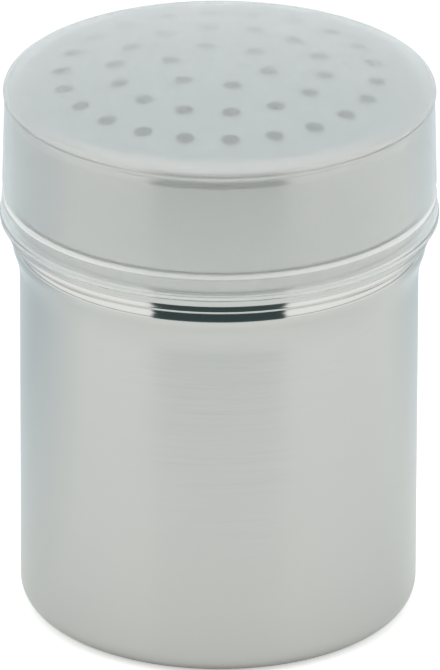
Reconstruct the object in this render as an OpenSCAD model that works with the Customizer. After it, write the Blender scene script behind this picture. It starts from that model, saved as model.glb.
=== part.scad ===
// Table shaker for dry spices: a drawn steel cup, a pushed-on steel lid with a
// domed, perforated crown, and a translucent plastic cover cap over the lid.
// Millimetres. The origin is the middle of the face it stands on, +Z is up.

/* [Cup] */
// Outer diameter of the cup's straight wall
cup_d = 65; // [50:1:90]
// Thickness of the cup's steel
cup_wall = 0.5; // [0.4:0.05:0.6]
// Outer radius of the corner between the wall and the base
cup_corner_r = 3.8; // [2:0.1:6]
// Height of the shoulder's widest circle
shoulder_z = 63.6; // [40:0.5:90]
// How far the shoulder stands out from the neck above it
shoulder_step = 0.3; // [0.1:0.05:0.6]
// Radius of the round fold over the shoulder
fold_r = 2.8; // [2:0.1:4]
// Radius of the hollow curve by which the wall flares to the shoulder
flare_r = 15; // [8:0.5:20]
// Width of the ring that the cup stands on, inside the corner
foot_w = 3.2; // [2:0.1:6]
// How far the middle of the base is raised inside that ring
base_rise = 0.6; // [0.3:0.1:1.2]
// Width of the slope from that ring up to the raised middle
base_slope_w = 1.2; // [1:0.1:3]

/* [Lid] */
// Thickness of the lid's steel
lid_wall = 0.45; // [0.35:0.05:0.45]
// How far the lid's skirt stands out from the cup's straight wall
skirt_out = 1.7; // [1.5:0.05:2]
// Height of the crown's middle above the rim's lowest circle
lid_h = 28.6; // [25:0.2:40]
// Radius of the crown's dome
dome_r = 165; // [120:5:400]
// Outer radius of the corner between the crown and the skirt
lid_corner_r = 3; // [1.5:0.1:4]
// Radius of the small hollow by which the skirt flares to its rim
rim_flare_r = 1.5; // [1:0.1:3]
// Slope that the skirt reaches in that hollow, in degrees
rim_turn = 30; // [20:1:40]
// Radius of the rim's rolled edge
hem_r = 0.48; // [0.46:0.01:0.6]
// How far the edge is rolled under, in degrees
hem_turn = 115; // [90:5:140]

/* [Perforation] */
// Diameter of each hole
hole_d = 3; // [1:0.1:4]
// Radius of the inner ring of holes
inner_ring_r = 8.2; // [6:0.1:10]
// Number of holes in the inner ring
inner_ring_n = 6; // [3:1:8]
// Radius of the middle ring of holes
middle_ring_r = 17.1; // [15:0.1:19]
// Number of holes in the middle ring
middle_ring_n = 14; // [6:1:18]
// Radius of the outer ring of holes
outer_ring_r = 25.5; // [24:0.1:27]
// Number of holes in the outer ring
outer_ring_n = 22; // [10:1:28]
// Angle of the line on which all three rings start with a hole
pattern_turn = 44.8; // [0:0.1:60]

/* [Cover cap] */
// Thickness of the cap's plastic
cap_wall = 0.6; // [0.5:0.05:0.9]
// Outer radius of the corner between the cap's top and its wall
cap_corner_r = 1.15; // [1:0.05:1.6]
// Width of the steeper band at the edge of the cap's top
brow_w = 3; // [2:0.1:4]
// Slope of that band, in degrees
brow_slope = 17; // [14:1:20]
// How far the edge of the cap's top stands out over the wall below it
brow_out = 0.2; // [0.05:0.05:0.4]
// Radius of the hollow under that edge
brow_hollow_r = 1; // [0.5:0.1:2]
// How much wider the cap's wall is at the collar than at its top
cap_taper = 0.45; // [0:0.05:0.8]
// Height of the collar at the cap's open end
collar_h = 4.1; // [3:0.1:8]
// How far the collar stands out from the wall
collar_out = 0.1; // [0.05:0.05:0.4]
// Height of the step between the wall and the collar
collar_step_h = 0.7; // [0.2:0.05:1.5]
// Height of the lip at the very edge of the collar
lip_h = 1; // [0.6:0.1:1.4]
// How far the lip stands out from the collar
lip_out = 0.25; // [0.1:0.05:0.4]
// Height of the cap's open edge above the place where the skirt starts to flare
cap_edge_gap = 1.45; // [0.5:0.05:4]

/* [Clearances] */
// Gap between the lid's rolled rim and the cup's shoulder
rim_gap = 0.6; // [0.4:0.05:0.9]
// Gap between the lid's corner and the edge of the neck, on which the lid rests
seat_gap = 0.1; // [0.05:0.05:0.3]
// Gap all round between the lid's skirt and the cup's neck
neck_gap = 0.35; // [0.2:0.05:0.5]
// Gap between the cap and the top of the lid's crown
crown_gap = 0.3; // [0.2:0.05:0.5]
// Gap all round between the cap's wall and the lid's skirt
cap_gap = 0.15; // [0.1:0.05:1]

/* [Hidden] */

// Facets round each turned piece
$fn = 180;
// Largest step along a curve of a profile, in degrees
curve_step = 5;
// Steps along the dome from the axis to the corner
dome_steps = 9;
// Points of a profile nearer than this are one point
least_step = 0.001;

// Main radii, each worked out from the piece that it has to fit
cup_r = cup_d / 2;
skirt_r = cup_r + skirt_out;
neck_r = skirt_r - lid_wall - neck_gap;
shoulder_r = neck_r + shoulder_step;
cap_top_r = skirt_r + cap_gap + cap_wall;
cap_wall_r = cap_top_r + cap_taper;
collar_r = cap_wall_r + collar_out;
lip_r = collar_r + lip_out;
base_panel_r = cup_r - cup_corner_r - foot_w;

// The cup's flare ends where it meets the fold at the same slope
flare_turn = acos(1 - (shoulder_r - cup_r) / (flare_r + fold_r));
flare_z = shoulder_z - (flare_r + fold_r) * sin(flare_turn);

// The fold ends where it reaches the neck
fold_x = shoulder_r - fold_r;
fold_turn = acos(1 - shoulder_step / fold_r);

// The lid's rolled rim ends the skirt's small hollow, just clear of the fold
rim_reach = rim_flare_r + hem_r;
hem_x = skirt_r + rim_flare_r - rim_reach * cos(rim_turn);
hem_z = shoulder_z + sqrt((fold_r + hem_r + rim_gap) ^ 2 - (hem_x - fold_x) ^ 2);
rim_flare_z = hem_z + rim_reach * sin(rim_turn);
crown_z = hem_z - hem_r + lid_h;

// The dome's centre, and the place where its corner begins
dome_z = crown_z - dome_r;
lid_corner_x = skirt_r - lid_corner_r;
lid_corner_z = dome_z + sqrt((dome_r - lid_corner_r) ^ 2 - lid_corner_x ^ 2);
lid_dome_turn = asin(lid_corner_x / (dome_r - lid_corner_r));

// The neck's edge reaches up to the inside of that corner, which rests on it
mouth_z = lid_corner_z + sqrt((lid_corner_r - lid_wall) ^ 2 - (neck_r - lid_corner_x) ^ 2) - seat_gap;

// The punches pass through the whole crown, from under its edge to over its middle
punch_z = lid_corner_z;
punch_h = crown_z + lid_wall - punch_z;

// The cap's top follows the dome, then falls more steeply to its corner
cap_dome_r = dome_r + crown_gap + cap_wall;
cap_corner_x = cap_top_r + brow_out - cap_corner_r;
brow_end_x = cap_corner_x + cap_corner_r * sin(brow_slope);
brow_x = brow_end_x - brow_w;
cap_dome_turn = asin(brow_x / cap_dome_r);
brow_z = dome_z + cap_dome_r * cos(cap_dome_turn);
brow_end_z = brow_z - brow_w * tan(brow_slope);
cap_corner_z = brow_end_z - cap_corner_r * cos(brow_slope);

// The corner turns back under itself until it meets the hollow at the same slope
brow_under = acos(1 - brow_out / (cap_corner_r + brow_hollow_r));
cap_wall_z = cap_corner_z - (cap_corner_r + brow_hollow_r) * sin(brow_under);

// Heights of the cap's open edge, and of the top of its lip and its collar
cap_edge_z = rim_flare_z + cap_edge_gap;
lip_z = cap_edge_z + lip_h;
collar_z = cap_edge_z + collar_h;

// Points on a curve round centre c, from angle a to angle b
function curve(c, r, a, b, steps = 0) =
    let (n = steps > 0 ? steps : max(1, ceil(abs(b - a) / curve_step)))
    [for (i = [0:n]) c + r * [cos(a + (b - a) * i / n), sin(a + (b - a) * i / n)]];

// The direction square to a step of a path, on its left
function left_of(step) = [-step[1], step[0]] / norm(step);

// A path without the points that repeat where two of its curves meet
function without_repeats(path) =
    [for (i = [0:len(path) - 1]) if (i == 0 || norm(path[i] - path[i - 1]) > least_step) path[i]];

// A path moved sideways by t, to its left; a point on the axis stays on the axis
function beside(path, t) =
    let (last = len(path) - 1)
    [for (i = [0:last])
        let (before = left_of(path[max(i, 1)] - path[max(i, 1) - 1]))
        let (after = left_of(path[min(i + 1, last)] - path[min(i + 1, last) - 1]))
        let (moved = path[i] + t * (before + after) / (1 + before * after))
        [path[i][0] == 0 ? 0 : moved[0], moved[1]]];

function reversed(list) = [for (i = [len(list) - 1:-1:0]) list[i]];

// The section of a sheet of thickness t whose outer face follows the path
function sheet(path, t) =
    let (outer = without_repeats(path))
    concat(outer, reversed(beside(outer, t)));

// The cup's outer face, from the middle of the base to the edge of the neck
cup_path = concat(
    [[0, base_rise], [base_panel_r - base_slope_w, base_rise], [base_panel_r, 0]],
    curve([cup_r - cup_corner_r, cup_corner_r], cup_corner_r, -90, 0),
    curve([cup_r + flare_r, flare_z], flare_r, 180, 180 - flare_turn),
    curve([fold_x, shoulder_z], fold_r, -flare_turn, fold_turn),
    [[neck_r, mouth_z]]
);

// The lid's outer face, from the end of the rolled edge up to the axis
lid_path = concat(
    curve([hem_x, hem_z], hem_r, -hem_turn, rim_turn),
    curve([skirt_r + rim_flare_r, rim_flare_z], rim_flare_r, 180 + rim_turn, 180),
    curve([lid_corner_x, lid_corner_z], lid_corner_r, 0, 90 - lid_dome_turn),
    curve([0, dome_z], dome_r, 90 - lid_dome_turn, 90, dome_steps)
);

// The cap's outer face, from its open edge up to the axis
cap_path = concat(
    [[lip_r, cap_edge_z], [lip_r, lip_z - lip_out], [collar_r, lip_z]],
    [[collar_r, collar_z - collar_step_h], [cap_wall_r, collar_z]],
    curve([cap_top_r + brow_hollow_r, cap_wall_z], brow_hollow_r, 180, 180 - brow_under),
    curve([cap_corner_x, cap_corner_z], cap_corner_r, -brow_under, 90 - brow_slope),
    curve([0, dome_z], cap_dome_r, 90 - cap_dome_turn, 90, dome_steps)
);

// A ring of n holes, the first of them on the pattern's line
module hole_ring(ring_r, n) {
    for (i = [0:n - 1]) {
        rotate(pattern_turn + i * 360 / n)
            translate([ring_r, 0, punch_z])
                cylinder(d = hole_d, h = punch_h);
    }
}

// Drawn steel cup with a flared shoulder, a neck and a raised base
module cup() {
    color("silver") rotate_extrude() polygon(sheet(cup_path, cup_wall));
}

// Drawn steel lid with three rings of holes in its crown
module perforated_lid() {
    color("gainsboro") difference() {
        rotate_extrude() polygon(sheet(lid_path, lid_wall));
        hole_ring(inner_ring_r, inner_ring_n);
        hole_ring(middle_ring_r, middle_ring_n);
        hole_ring(outer_ring_r, outer_ring_n);
    }
}

// Moulded plastic cover that pulls off upwards
module cover_cap() {
    color("azure", 0.6) rotate_extrude() polygon(sheet(cap_path, cap_wall));
}

cup();
perforated_lid();
cover_cap();
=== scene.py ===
# %% [markdown]
# # A steel spice shaker with a frosted cover
#
# The real shaker is three turned pieces that sit inside one another: a drawn steel cup, a steel
# lid with punched holes, and a moulded plastic cover. Every one of them is round, so each is made
# here as its section, half of the shape cut through the middle, and then spun about the upright
# axis. The frame holds the same pieces as plain solids; the pieces made here stand for them and
# carry the finishes.

# %% Load the frame
import math

import bmesh
import bpy
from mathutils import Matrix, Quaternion, Vector


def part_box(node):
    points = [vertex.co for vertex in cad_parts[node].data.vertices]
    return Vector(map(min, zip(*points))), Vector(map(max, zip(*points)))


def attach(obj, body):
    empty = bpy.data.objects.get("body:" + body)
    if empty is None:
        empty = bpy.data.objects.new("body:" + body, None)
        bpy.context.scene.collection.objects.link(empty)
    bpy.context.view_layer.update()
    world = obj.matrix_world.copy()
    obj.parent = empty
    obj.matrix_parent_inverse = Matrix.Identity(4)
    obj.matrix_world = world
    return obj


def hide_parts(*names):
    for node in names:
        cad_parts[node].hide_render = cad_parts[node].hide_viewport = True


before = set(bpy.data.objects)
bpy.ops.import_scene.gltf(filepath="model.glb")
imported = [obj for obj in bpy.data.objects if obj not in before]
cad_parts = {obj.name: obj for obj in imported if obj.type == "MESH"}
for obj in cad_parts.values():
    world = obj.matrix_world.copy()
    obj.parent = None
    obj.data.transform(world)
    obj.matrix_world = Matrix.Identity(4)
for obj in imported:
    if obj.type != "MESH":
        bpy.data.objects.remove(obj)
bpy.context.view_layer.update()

mm = 0.001

# %% [markdown]
# ## Sizes
#
# A blank is pressed and spun to a few radii and heights, and everything else follows from them.
# The widest circles and the top and bottom of each piece are read from the frame, so the pieces
# can't drift away from the solids. The rest are the shop sizes of the same piece, in millimetres.

# %% Sizes of the lid
rim_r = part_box("perforated_lid")[1].x
lid_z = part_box("perforated_lid")[0].z
crown_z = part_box("perforated_lid")[1].z
lid_wall = 0.45 * mm
rim_flare_r = 1.5 * mm
rim_turn = 30
hem_r = 0.48 * mm
hem_turn = 115
skirt_r = rim_r - (rim_flare_r + hem_r) * (1 - math.cos(math.radians(rim_turn)))
lid_corner_r = 2.4 * mm
lid_corner_turn = 38
crown_edge_w = 2.1 * mm
dome_r = 165 * mm
hole_r = 1.5 * mm
hole_rings = [(8.2 * mm, 6), (17.1 * mm, 14), (25.5 * mm, 22)]
pattern_turn = 44.8
print("lid: skirt", round(skirt_r / mm, 2), "rim", round(rim_r / mm, 2), "mm")

# %% Sizes of the cup
shoulder_out = 1.2 * mm
shoulder_drop = 1.87 * mm
mouth_drop = 0.86 * mm
neck_gap = 0.35 * mm
shoulder_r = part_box("cup")[1].x
mouth_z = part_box("cup")[1].z - mouth_drop
shoulder_z = lid_z - shoulder_drop
neck_r = skirt_r - lid_wall - neck_gap
cup_r = shoulder_r - shoulder_out
cup_wall = 0.5 * mm
cup_corner_r = 3.8 * mm
flare_r = 15 * mm
fold_r = 2.8 * mm
foot_w = 3.2 * mm
base_panel_r = cup_r - cup_corner_r - foot_w
base_slope_w = 1.2 * mm
base_rise = 0.6 * mm
print("cup: radius", round(cup_r / mm, 2), "shoulder at", round(shoulder_z / mm, 2), "mm")

# %% Sizes of the cover cap
lip_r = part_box("cover_cap")[1].x
cap_edge_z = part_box("cover_cap")[0].z
cap_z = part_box("cover_cap")[1].z
cap_wall = 0.6 * mm
lip_h = 0.8 * mm
lip_z = cap_edge_z + lip_h
lip_out = 0.33 * mm
lip_hollow_r = 1.3 * mm
collar_r = lip_r - lip_out
collar_h = 4.1 * mm
collar_z = cap_edge_z + collar_h
collar_edge_r = 0.9 * mm
collar_edge_turn = 55
ease_h = 2 * mm
ease_in = 0.1 * mm
cap_wall_r = collar_r - ease_in
cap_taper = 0.8 * mm
cap_top_r = lip_r - cap_taper
brow_out = 0.2 * mm
brow_hollow_r = 1 * mm
cap_corner_r = 1.15 * mm
brow_w = 3 * mm
brow_slope = 17
print("cap: wall", round(cap_top_r / mm, 2), "to", round(cap_wall_r / mm, 2), "mm")

# %% [markdown]
# ## Drawing a section and spinning it
#
# A spinner follows a profile with a tool; here a single point does. It is carried straight on by
# extruding it, or round a bend by spinning it about the bend's centre, which leaves a true arc.
# Spinning the finished section about the upright axis gives the skin, the doubles on the axis are
# merged into a pole, and the normals are put right before the skin gets its thickness.

# %% Helpers that draw a section
SEGMENTS = 240
press_r = 0.5 * mm


def outline(x, z):
    """A section's first point, right of the axis, in a bmesh of its own."""
    bm = bmesh.new()
    return bm, bm.verts.new((x, 0, z))


def straight(bm, tip, x, z):
    """Carries the section straight on to a point."""
    new = bmesh.ops.extrude_vert_indiv(bm, verts=[tip])["verts"][0]
    new.co = (x, 0, z)
    return new


def bend(bm, tip, centre, turn, steps):
    """Carries the section round a centre by turn degrees, anticlockwise if turn is positive."""
    made = bmesh.ops.spin(
        bm, geom=[tip], cent=(centre[0], 0, centre[1]), axis=(0, -1, 0),
        angle=math.radians(turn), steps=steps,
    )
    return made["geom_last"][0]


def round_off(bm, corners, size):
    """Rounds the corners of a section, as a blank leaves the press with no sharp bend."""
    bmesh.ops.bevel(
        bm, geom=corners, offset=size, segments=4, profile=0.5, affect="VERTICES", material=-1,
    )


# %% Helpers that turn a section into a finished piece
def turned(bm, name, wall):
    """Spins a section into a skin, and gives the skin its wall, on its inner side."""
    bmesh.ops.spin(
        bm, geom=bm.verts[:] + bm.edges[:], cent=(0, 0, 0), axis=(0, 0, 1),
        angle=math.tau, steps=SEGMENTS, use_merge=True,
    )
    bmesh.ops.remove_doubles(bm, verts=bm.verts, dist=0.0005 * mm)
    bmesh.ops.recalc_face_normals(bm, faces=bm.faces)
    mesh = bpy.data.meshes.new(name)
    bm.to_mesh(mesh)
    bm.free()
    piece = bpy.data.objects.new(name, mesh)
    bpy.context.scene.collection.objects.link(piece)
    shell = piece.modifiers.new("wall", "SOLIDIFY")
    shell.thickness = wall
    shell.offset = -1
    shell.use_even_offset = True
    return piece


def break_edges(piece, width, angle):
    """Rounds the edges that are sharper than angle, as tumbling or a mould's own radius does."""
    edge = piece.modifiers.new("edges", "BEVEL")
    edge.width = width
    edge.segments = 2
    edge.limit_method = "ANGLE"
    edge.angle_limit = math.radians(angle)


def keep_mesh(piece, crease=35):
    """Turns the modifiers into mesh, and shades it smooth except across real edges."""
    seen = piece.evaluated_get(bpy.context.evaluated_depsgraph_get())
    mesh = bpy.data.meshes.new_from_object(seen)
    piece.modifiers.clear()
    piece.data = mesh
    mesh.name = piece.name
    mesh.polygons.foreach_set("use_smooth", [True] * len(mesh.polygons))
    mesh.set_sharp_from_angle(angle=math.radians(crease))
    triangles = sum(len(p.vertices) - 2 for p in mesh.polygons)
    print(piece.name, "has", triangles, "triangles")
    return piece


# %% [markdown]
# ## The cup
#
# The cup is drawn from one disc: a raised panel in a flat ring under it, a rounded corner, a
# straight wall, then a hollow flare up to a round shoulder, and the neck that the lid is pushed
# over. The section starts on the axis, under the panel, and ends at the mouth.

# %% Draw and spin the cup
flare_turn = math.degrees(math.acos(1 - (shoulder_r - cup_r) / (flare_r + fold_r)))
flare_z = shoulder_z - (flare_r + fold_r) * math.sin(math.radians(flare_turn))
fold_turn = math.degrees(math.acos(1 - (shoulder_r - neck_r) / fold_r))


def make_cup():
    bm, tip = outline(0, base_rise)
    panel_edge = tip = straight(bm, tip, base_panel_r - base_slope_w, base_rise)
    foot_edge = tip = straight(bm, tip, base_panel_r, 0)
    tip = straight(bm, tip, cup_r - cup_corner_r, 0)
    tip = bend(bm, tip, (cup_r - cup_corner_r, cup_corner_r), 90, 14)
    tip = straight(bm, tip, cup_r, flare_z)
    tip = bend(bm, tip, (cup_r + flare_r, flare_z), -flare_turn, 16)
    tip = bend(bm, tip, (shoulder_r - fold_r, shoulder_z), flare_turn + fold_turn, 16)
    straight(bm, tip, neck_r, mouth_z)
    round_off(bm, [panel_edge, foot_edge], press_r)
    piece = turned(bm, "cup_shell", cup_wall)
    break_edges(piece, 0.12 * mm, 60)
    return keep_mesh(piece)


cup = make_cup()

# %% [markdown]
# ## The lid
#
# The lid's section starts at the end of its rolled edge, goes round that edge and back through a
# small hollow to the skirt, and runs up the skirt, over the corner and a narrow bevel, to the
# middle of the domed crown. The holes are punched after pressing, so they are cut after the spin,
# by a boolean with one round punch for each; a small bevel gives them the rounded lip that a punch
# leaves.

# %% Draw and spin the lid
rim_reach = rim_flare_r + hem_r
hem_x = rim_r - hem_r
hem_z = lid_z + hem_r
rim_flare_z = hem_z + rim_reach * math.sin(math.radians(rim_turn))
dome_z = crown_z - dome_r
crown_edge_r = skirt_r - crown_edge_w
crown_edge_turn = math.degrees(math.asin(crown_edge_r / dome_r))
crown_edge_z = dome_z + dome_r * math.cos(math.radians(crown_edge_turn))
lid_corner_x = skirt_r - lid_corner_r
bevel_x = lid_corner_x + lid_corner_r * math.cos(math.radians(lid_corner_turn))
bevel_z = crown_edge_z - (bevel_x - crown_edge_r) / math.tan(math.radians(lid_corner_turn))
lid_corner_z = bevel_z - lid_corner_r * math.sin(math.radians(lid_corner_turn))


def make_punches():
    """One mesh with a round punch for each hole of the three rings."""
    bm = bmesh.new()
    for ring_r, count in hole_rings:
        for i in range(count):
            turn = math.radians(pattern_turn + i * 360 / count)
            punch = bmesh.ops.create_cone(
                bm, cap_ends=True, cap_tris=False, segments=32,
                radius1=hole_r, radius2=hole_r, depth=2 * lid_corner_r,
            )
            place = Vector((ring_r * math.cos(turn), ring_r * math.sin(turn), crown_z - lid_corner_r / 2))
            bmesh.ops.translate(bm, verts=punch["verts"], vec=place)
    mesh = bpy.data.meshes.new("punches")
    bm.to_mesh(mesh)
    bm.free()
    punches = bpy.data.objects.new("punches", mesh)
    bpy.context.scene.collection.objects.link(punches)
    return punches


def make_lid():
    start = math.radians(-hem_turn)
    bm, tip = outline(hem_x + hem_r * math.cos(start), hem_z + hem_r * math.sin(start))
    tip = bend(bm, tip, (hem_x, hem_z), hem_turn + rim_turn, 18)
    tip = bend(bm, tip, (skirt_r + rim_flare_r, rim_flare_z), -rim_turn, 8)
    tip = straight(bm, tip, skirt_r, lid_corner_z)
    tip = bend(bm, tip, (lid_corner_x, lid_corner_z), lid_corner_turn, 12)
    crown_edge = tip = straight(bm, tip, crown_edge_r, crown_edge_z)
    tip = bend(bm, tip, (0, dome_z), crown_edge_turn, 24)
    tip.co.x = 0
    round_off(bm, [crown_edge], press_r)
    piece = turned(bm, "lid_shell", lid_wall)
    punches = make_punches()
    cut = piece.modifiers.new("holes", "BOOLEAN")
    cut.operation = "DIFFERENCE"
    cut.solver = "EXACT"
    cut.object = punches
    break_edges(piece, 0.08 * mm, 60)
    keep_mesh(piece)
    bpy.data.objects.remove(punches)
    return piece


lid = make_lid()
print("holes:", sum(count for _, count in hole_rings))

# %% [markdown]
# ## The cover cap
#
# The cap is one thin moulding. From its open end up it has a lip, a collar whose upper edge is
# rounded off, a wall with a little draft, a small hollow under the edge of the top, a steeper band
# round that edge, and a top that follows the lid's crown.

# %% Draw and spin the cap
cap_dome_r = cap_z - dome_z
cap_corner_x = cap_top_r + brow_out - cap_corner_r
brow_end_x = cap_corner_x + cap_corner_r * math.sin(math.radians(brow_slope))
brow_x = brow_end_x - brow_w
cap_dome_turn = math.degrees(math.asin(brow_x / cap_dome_r))
brow_z = dome_z + cap_dome_r * math.cos(math.radians(cap_dome_turn))
brow_end_z = brow_z - brow_w * math.tan(math.radians(brow_slope))
cap_corner_z = brow_end_z - cap_corner_r * math.cos(math.radians(brow_slope))
brow_under = math.degrees(math.acos(1 - brow_out / (cap_corner_r + brow_hollow_r)))
cap_wall_z = cap_corner_z - (cap_corner_r + brow_hollow_r) * math.sin(math.radians(brow_under))
collar_edge_z = collar_z - collar_edge_r * math.sin(math.radians(collar_edge_turn))
lip_turn = math.degrees(math.acos(1 - lip_out / lip_hollow_r))
lip_end_z = lip_z + lip_hollow_r * math.sin(math.radians(lip_turn))


def make_cap():
    bm, tip = outline(lip_r, cap_edge_z)
    lip_edge = tip = straight(bm, tip, lip_r, lip_z)
    tip = bend(bm, tip, (collar_r + lip_hollow_r, lip_end_z), -lip_turn, 8)
    tip = straight(bm, tip, collar_r, collar_edge_z)
    crease = tip = bend(bm, tip, (collar_r - collar_edge_r, collar_edge_z), collar_edge_turn, 8)
    tip = straight(bm, tip, cap_wall_r, collar_z + ease_h)
    tip = straight(bm, tip, cap_top_r, cap_wall_z)
    tip = bend(bm, tip, (cap_top_r + brow_hollow_r, cap_wall_z), -brow_under, 6)
    tip = bend(bm, tip, (cap_corner_x, cap_corner_z), brow_under + 90 - brow_slope, 16)
    brow_fold = tip = straight(bm, tip, brow_x, brow_z)
    tip = bend(bm, tip, (0, dome_z), cap_dome_turn, 24)
    tip.co.x = 0
    round_off(bm, [lip_edge], 0.12 * mm)
    round_off(bm, [crease], 0.1 * mm)
    round_off(bm, [brow_fold], 0.6 * mm)
    piece = turned(bm, "cap_shell", cap_wall)
    break_edges(piece, 0.15 * mm, 60)
    return keep_mesh(piece, 12)


cap = make_cap()

# %% [markdown]
# ## Colours and nodes
#
# Colours are written as they would be picked from a sample, in sRGB, and one function turns them
# to the linear values that the shaders add up.

# %% Helpers for materials
def linear(sample):
    """A colour like "#C8C8C4" as linear red, green, blue and 1."""
    parts = [int(sample[i : i + 2], 16) / 255 for i in (1, 3, 5)]
    return tuple(v / 12.92 if v <= 0.04045 else ((v + 0.055) / 1.055) ** 2.4 for v in parts) + (1,)


def add(tree, kind, settings=None, links=None):
    """Adds a node. A setting is a property or one of its own sockets; a link feeds a socket."""
    node = tree.nodes.new(kind)
    for name, value in (settings or {}).items():
        if isinstance(name, str) and hasattr(node, name):
            setattr(node, name, value)
        else:
            node.inputs[name].default_value = value
    for name, output in (links or {}).items():
        tree.links.new(output, node.inputs[name])
    return node


def new_material(name):
    """An empty material and its node tree."""
    material = bpy.data.materials.new(name)
    material.use_nodes = True
    material.node_tree.nodes.clear()
    return material, material.node_tree


# %% [markdown]
# ## Brushed steel
#
# The cup and lid are 18/10 stainless steel. The wall is brushed while the cup turns, so its fine
# lines run round it: they blur what the steel mirrors upwards and downwards, but hardly sideways.
# The shader's anisotropy does the blur, and a stretched noise draws the few lines that are coarse
# enough to see. Real brush lines are about 0.05 mm apart, too fine for the picture, so they are
# drawn at 0.3 mm.

# %% Lines that run round the axis
def round_lines(tree, spacing, length):
    """Noise drawn out round the axis, which varies only along the section."""
    place = add(tree, "ShaderNodeTexCoord").outputs["Object"]
    parts = add(tree, "ShaderNodeSeparateXYZ", links={0: place}).outputs
    flat = add(tree, "ShaderNodeCombineXYZ", links={0: parts[0], 1: parts[1]}).outputs[0]
    radius = add(tree, "ShaderNodeVectorMath", {"operation": "LENGTH"}, {0: flat}).outputs["Value"]
    along = add(tree, "ShaderNodeMath", {"operation": "SUBTRACT"}, {0: parts[2], 1: radius}).outputs[0]
    track = add(tree, "ShaderNodeCombineXYZ", links={0: parts[0], 1: parts[1], 2: along}).outputs[0]
    drawn = add(
        tree, "ShaderNodeVectorMath",
        {"operation": "MULTIPLY", 1: (1 / length, 1 / length, 1 / spacing)}, {0: track},
    ).outputs[0]
    return add(tree, "ShaderNodeTexNoise", {"Scale": 1.0, "Detail": 3.0, "Roughness": 0.6}, {0: drawn})


def tiny_marks(tree, cell, size, share):
    """1 on small round marks: one in some of the cells of a loose grid, and 0 elsewhere."""
    place = add(tree, "ShaderNodeTexCoord").outputs["Object"]
    cells = add(tree, "ShaderNodeTexVoronoi", {"Scale": 1 / cell}, {"Vector": place})
    near = add(
        tree, "ShaderNodeMapRange",
        {"From Min": 0.5 * size / cell, "From Max": size / cell, "To Min": 1.0, "To Max": 0.0},
        {"Value": cells.outputs["Distance"]},
    ).outputs[0]
    pick = add(tree, "ShaderNodeSeparateColor", links={0: cells.outputs["Color"]}).outputs[0]
    chosen = add(tree, "ShaderNodeMath", {"operation": "LESS_THAN", 1: share}, {0: pick}).outputs[0]
    return add(tree, "ShaderNodeMath", {"operation": "MULTIPLY"}, {0: near, 1: chosen}).outputs[0]


def by_height(tree, low, high, below, above):
    """A value that goes from below to above as the height goes from low to high."""
    place = add(tree, "ShaderNodeTexCoord").outputs["Object"]
    height = add(tree, "ShaderNodeSeparateXYZ", links={0: place}).outputs[2]
    return add(
        tree, "ShaderNodeMapRange",
        {"interpolation_type": "SMOOTHSTEP", "From Min": low, "From Max": high,
         "To Min": below, "To Max": above},
        {"Value": height},
    ).outputs[0]


def band(tree, low, high, soft):
    """1 between two heights and 0 outside them, with soft edges."""
    rising = by_height(tree, low - soft, low + soft, 0.0, 1.0)
    falling = by_height(tree, high - soft, high + soft, 1.0, 0.0)
    return add(tree, "ShaderNodeMath", {"operation": "MULTIPLY"}, {0: rising, 1: falling}).outputs[0]


# %% Steel that was finished in a lathe
LINE_SPACING = 0.3 * mm
MARK_CELL = 13 * mm


def turned_steel(name, polish, line_length, streaks, line_depth, grain, mark_size, mark_share):
    """Steel brushed round the axis. Polish is its roughness by height, streaks how far that varies."""
    material, tree = new_material(name)
    lines = round_lines(tree, LINE_SPACING, line_length).outputs[0]
    streak = add(
        tree, "ShaderNodeMapRange",
        {"From Min": 0.3, "From Max": 0.7, "To Min": 1 - streaks, "To Max": 1 + streaks},
        {"Value": lines},
    ).outputs[0]
    roughness = add(
        tree, "ShaderNodeMath", {"operation": "MULTIPLY"}, {0: by_height(tree, *polish), 1: streak},
    ).outputs[0]
    tone = add(
        tree, "ShaderNodeMix",
        {"data_type": "RGBA", 6: linear("#C0C1C0"), 7: linear("#8C8C88")},
        {0: tiny_marks(tree, MARK_CELL, mark_size, mark_share)},
    ).outputs[2]
    bump = add(
        tree, "ShaderNodeBump", {"Strength": line_depth, "Distance": 0.02 * mm}, {"Height": lines},
    ).outputs[0]
    round_axis = add(tree, "ShaderNodeTangent", {"direction_type": "RADIAL", "axis": "Z"}).outputs[0]
    steel = add(
        tree, "ShaderNodeBsdfPrincipled",
        {"Metallic": 1.0, "Anisotropic": grain, "Anisotropic Rotation": 0.25},
        {"Base Color": tone, "Roughness": roughness, "Normal": bump, "Tangent": round_axis},
    )
    add(tree, "ShaderNodeOutputMaterial", links={"Surface": steel.outputs[0]})
    return material


# %% The cup's and the lid's steel
def cup_steel():
    """Stainless steel, satin on the wall and bright from the flare up, where the die burnished it."""
    return turned_steel(
        "satin_stainless_steel", polish=(flare_z + 2 * mm, flare_z + 4.5 * mm, 0.245, 0.1),
        line_length=18 * mm, streaks=0.1, line_depth=0.04, grain=0.7,
        mark_size=0.22 * mm, mark_share=0.3,
    )


def lid_steel():
    """The same steel, bright on the rim and skirt, with a fine satin crown."""
    return turned_steel(
        "bright_stainless_steel", polish=(rim_flare_z, lid_corner_z + 2 * mm, 0.12, 0.2),
        line_length=14 * mm, streaks=0.15, line_depth=0.01, grain=0.5,
        mark_size=0.2 * mm, mark_share=0.2,
    )


# %% [markdown]
# ## Frosted polyethylene
#
# The cap is moulded in low-density polyethylene, which is clear in a thin film and milky in a
# thick wall, because its crystals scatter light. Most of the light goes through, with some blur
# in the wall and more in the frosted top, and the rest comes back white. The rounded edge of the
# collar is the thickest ring of the moulding, so it is the milkiest.

# %% The cap's plastic
WALL_CLEAR = 0.82
COLLAR_MILK = 0.4


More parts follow.
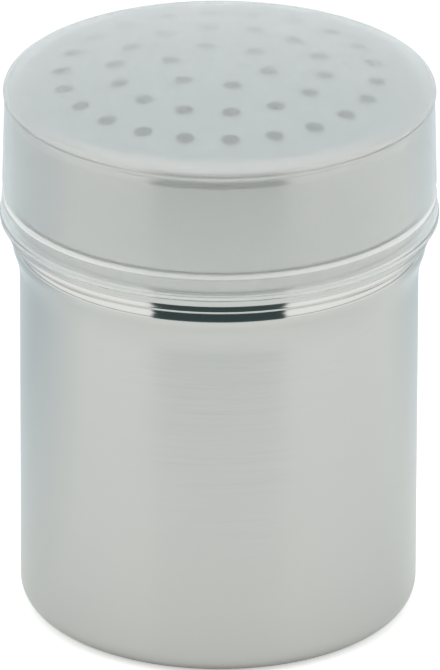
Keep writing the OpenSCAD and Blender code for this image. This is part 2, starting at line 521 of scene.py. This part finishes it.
def cap_plastic():
    """Polyethylene, smooth on the wall and frosted on the top, with a milky edge on the collar."""
    material, tree = new_material("natural_polyethylene")
    roughness = by_height(tree, cap_wall_z - 1 * mm, cap_wall_z + 1 * mm, 0.1, 0.25)
    thick = band(tree, collar_z - 0.45 * mm, collar_z + 0.3 * mm, 0.12 * mm)
    clear = add(
        tree, "ShaderNodeMath", {"operation": "MULTIPLY_ADD", 1: -COLLAR_MILK, 2: WALL_CLEAR}, {0: thick},
    ).outputs[0]
    marks = tiny_marks(tree, 15 * mm, 0.16 * mm, 0.3)
    tone = add(
        tree, "ShaderNodeMix",
        {"data_type": "RGBA", 6: linear("#FEFFFF"), 7: linear("#8A9290")}, {0: marks},
    ).outputs[2]
    plastic = add(
        tree, "ShaderNodeBsdfPrincipled", {"IOR": 1.51},
        {"Base Color": tone, "Roughness": roughness, "Transmission Weight": clear},
    )
    add(tree, "ShaderNodeOutputMaterial", links={"Surface": plastic.outputs[0]})
    return material


# %% Dress the pieces
for piece, node, body, slot, material in (
    (cup, "cup", "cup", "cup_steel", cup_steel()),
    (lid, "perforated_lid", "lid", "lid_steel", lid_steel()),
    (cap, "cover_cap", "cap", "cap_plastic", cap_plastic()),
):
    piece.data.materials.clear()
    piece.data.materials.append(material)
    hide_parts(node)
    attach(piece, body)
    print(piece.name, "rides on", body, "in", material.name)

# %% [markdown]
# ## Camera
#
# The photographer stood a couple of metres away with a long lens, looking down at 24.5 degrees.
# The frame is 440 by 670 pixels; its scale at the shaker and the distance give the lens.

# %% Place the camera
FRAME_H = 670
SENSOR = 36
distance = 2374.3 * mm
elevation = math.radians(24.464)
pixels_per_metre = 6121.6
target = Vector((0, 0, 46.33 * mm))
lean = 0.003
off_centre = 1.01

camera = bpy.data.objects.new("camera", bpy.data.cameras.new("camera"))
bpy.context.scene.collection.objects.link(camera)
bpy.context.scene.camera = camera
back = Vector((0, -math.cos(elevation), math.sin(elevation)))
camera.location = target + distance * back
camera.rotation_mode = "QUATERNION"
camera.rotation_quaternion = (-back).to_track_quat("-Z", "Y") @ Quaternion((0, 0, 1), lean)
camera.data.lens = pixels_per_metre * distance / FRAME_H * SENSOR
camera.data.sensor_width = SENSOR
camera.data.shift_x = off_centre / FRAME_H
camera.data.clip_end = 20
print("lens:", round(camera.data.lens, 1), "mm")

# %% [markdown]
# ## Table and light
#
# The shaker stands on a round white table in a tent of soft white light, which is all that its
# steel has to mirror. The roof and the sides of the tent are the brightest, its back is a little
# blue, most of all high up, a seam runs round it below the height of the table, and a dark flag
# hangs on the side of the camera, which is the dark streak in the rim.

# %% Helpers for the stage
def ramp(tree, stops, factor):
    """A colour ramp with the given (place, colour) stops."""
    node = add(tree, "ShaderNodeValToRGB", links={0: factor})
    node.color_ramp.elements[0].position, node.color_ramp.elements[0].color = stops[0]
    node.color_ramp.elements[1].position, node.color_ramp.elements[1].color = stops[-1]
    for place, colour in stops[1:-1]:
        node.color_ramp.elements.new(place).color = colour
    return node.outputs[0]


def fall(tree, edge, soft, value):
    """1 below an edge and 0 above it, with a soft change between, all in degrees."""
    return add(
        tree, "ShaderNodeMapRange",
        {"interpolation_type": "SMOOTHSTEP", "From Min": edge - soft, "From Max": edge + soft,
         "To Min": 1.0, "To Max": 0.0},
        {"Value": value},
    ).outputs[0]


def opposite(tree, share):
    """What a share leaves of 1."""
    return add(tree, "ShaderNodeMath", {"operation": "SUBTRACT", 0: 1.0}, {1: share}).outputs[0]


def times(tree, value, other):
    """The product of a value and a number or another value."""
    node = add(tree, "ShaderNodeMath", {"operation": "MULTIPLY"}, {0: value})
    if isinstance(other, float):
        node.inputs[1].default_value = other
    else:
        tree.links.new(other, node.inputs[1])
    return node.outputs[0]


def blend(tree, share, first, second):
    """Goes from the first colour to the second with the share; each is a colour or a link."""
    node = add(tree, "ShaderNodeMix", {"data_type": "RGBA"}, {0: share})
    for socket, colour in ((6, first), (7, second)):
        if isinstance(colour, tuple):
            node.inputs[socket].default_value = colour
        else:
            tree.links.new(colour, node.inputs[socket])
    return node.outputs[2]


# %% The table
table_r = 280 * mm
painted_shade_reach = 100 * mm
GLOW_SEEN = 0.45
GLOW_MIRRORED = 0.1


def make_table():
    """A round white table that glows a little, so that only the shaker's shadow shows on it, with painted
    shade that darkens its colour towards the back.
    """
    bm = bmesh.new()
    bmesh.ops.create_circle(bm, cap_ends=True, segments=128, radius=table_r)
    mesh = bpy.data.meshes.new("table")
    bm.to_mesh(mesh)
    bm.free()
    table = bpy.data.objects.new("table", mesh)
    bpy.context.scene.collection.objects.link(table)
    material, tree = new_material("table_with_painted_shade")
    path = add(tree, "ShaderNodeLightPath").outputs
    mirrored = add(
        tree, "ShaderNodeMath", {"operation": "MAXIMUM"},
        {0: path["Is Glossy Ray"], 1: path["Is Transmission Ray"]},
    ).outputs[0]
    glow = add(
        tree, "ShaderNodeMath", {"operation": "MULTIPLY_ADD", 1: GLOW_SEEN},
        {0: path["Is Camera Ray"], 2: times(tree, mirrored, GLOW_MIRRORED)},
    ).outputs[0]
    # Painted shade: the table's colour gets darker and bluer towards the back and a little to the left,
    # so the steel mirrors shade low on its sides.
    place = add(tree, "ShaderNodeTexCoord").outputs["Object"]
    depth = add(
        tree, "ShaderNodeVectorMath", {"operation": "DOT_PRODUCT", 1: (-0.25, 1.0, 0.0)}, {0: place},
    ).outputs["Value"]
    depth = add(tree, "ShaderNodeMapRange", {"From Min": 0.0, "From Max": painted_shade_reach}, {"Value": depth})
    tone = ramp(
        tree,
        [
            (0.0, linear("#EFEFEC")),
            (0.27, linear("#E5E7E6")),
            (0.61, linear("#D6DCDE")),
            (1.0, linear("#C6CED2")),
        ],
        depth.outputs[0],
    )
    paper = add(
        tree, "ShaderNodeBsdfPrincipled",
        {"Roughness": 0.9, "Specular IOR Level": 0.0, "Emission Color": (1, 1, 1, 1)},
        {"Base Color": tone, "Emission Strength": glow},
    )
    add(tree, "ShaderNodeOutputMaterial", links={"Surface": paper.outputs[0]})
    table.data.materials.append(material)
    return table


make_table()

# %% The light tent
LEVEL = 1.4
FLAG_HALF = 36.0
FLAG_TOP = 40.0
ROOF_EDGE = 60.0
BACK_RISE = 25.0
SEAM_TOP = -4.0
SEAM_LOW = -9.0


def make_tent():
    """The world as a light tent. Turn is the angle from the camera's side, rise from the table's."""
    world = bpy.data.worlds.new("tent")
    bpy.context.scene.world = world
    world.use_nodes = True
    tree = world.node_tree
    tree.nodes.clear()
    way = add(tree, "ShaderNodeTexCoord").outputs["Generated"]
    x, y, z = add(tree, "ShaderNodeSeparateXYZ", links={0: way}).outputs
    turn = add(tree, "ShaderNodeMath", {"operation": "ARCTAN2"}, {0: x, 1: times(tree, y, -1.0)})
    turn = add(tree, "ShaderNodeMath", {"operation": "ABSOLUTE"}, {0: turn.outputs[0]})
    turn = times(tree, turn.outputs[0], 180 / math.pi)
    rise = add(tree, "ShaderNodeMath", {"operation": "ARCSINE"}, {0: z})
    rise = times(tree, rise.outputs[0], 180 / math.pi)
    share = times(tree, turn, 1 / 180)
    round_wall = ramp(
        tree,
        [
            (0.0, linear("#FCFCF9")),
            (0.3, linear("#FFFFFB")),
            (0.58, linear("#FDFDFA")),
            (0.68, linear("#DCE2E4")),
            (1.0, linear("#DCE2E4")),
        ],
        share,
    )
    behind = ramp(tree, [(0.6, linear("#000000")), (0.7, linear("#FFFFFF"))], share)
    high = opposite(tree, fall(tree, BACK_RISE, 20.0, rise))
    tent = blend(tree, times(tree, behind, high), round_wall, linear("#D2DEE1"))
    tent = blend(tree, fall(tree, ROOF_EDGE, 8.0, rise), linear("#FFFFFF"), tent)
    over = opposite(tree, fall(tree, SEAM_LOW, 1.0, rise))
    seam = times(tree, fall(tree, SEAM_TOP, 1.0, rise), over)
    tent = blend(tree, seam, tent, linear("#A8AAA6"))
    flag = times(tree, fall(tree, FLAG_HALF, 1.5, turn), fall(tree, FLAG_TOP, 3.0, rise))
    tent = blend(tree, flag, tent, linear("#3C4A4A"))
    seen = add(tree, "ShaderNodeLightPath").outputs["Is Camera Ray"]
    light = add(tree, "ShaderNodeBackground", {"Strength": LEVEL}, {"Color": tent})
    white = add(tree, "ShaderNodeBackground", {"Color": (1, 1, 1, 1), "Strength": 1.0})
    both = add(
        tree, "ShaderNodeMixShader", links={0: seen, 1: light.outputs[0], 2: white.outputs[0]},
    )
    add(tree, "ShaderNodeOutputWorld", links={"Surface": both.outputs[0]})


make_tent()
bpy.context.scene.view_settings.view_transform = "Standard"

# %% Finish
bpy.context.view_layer.update()
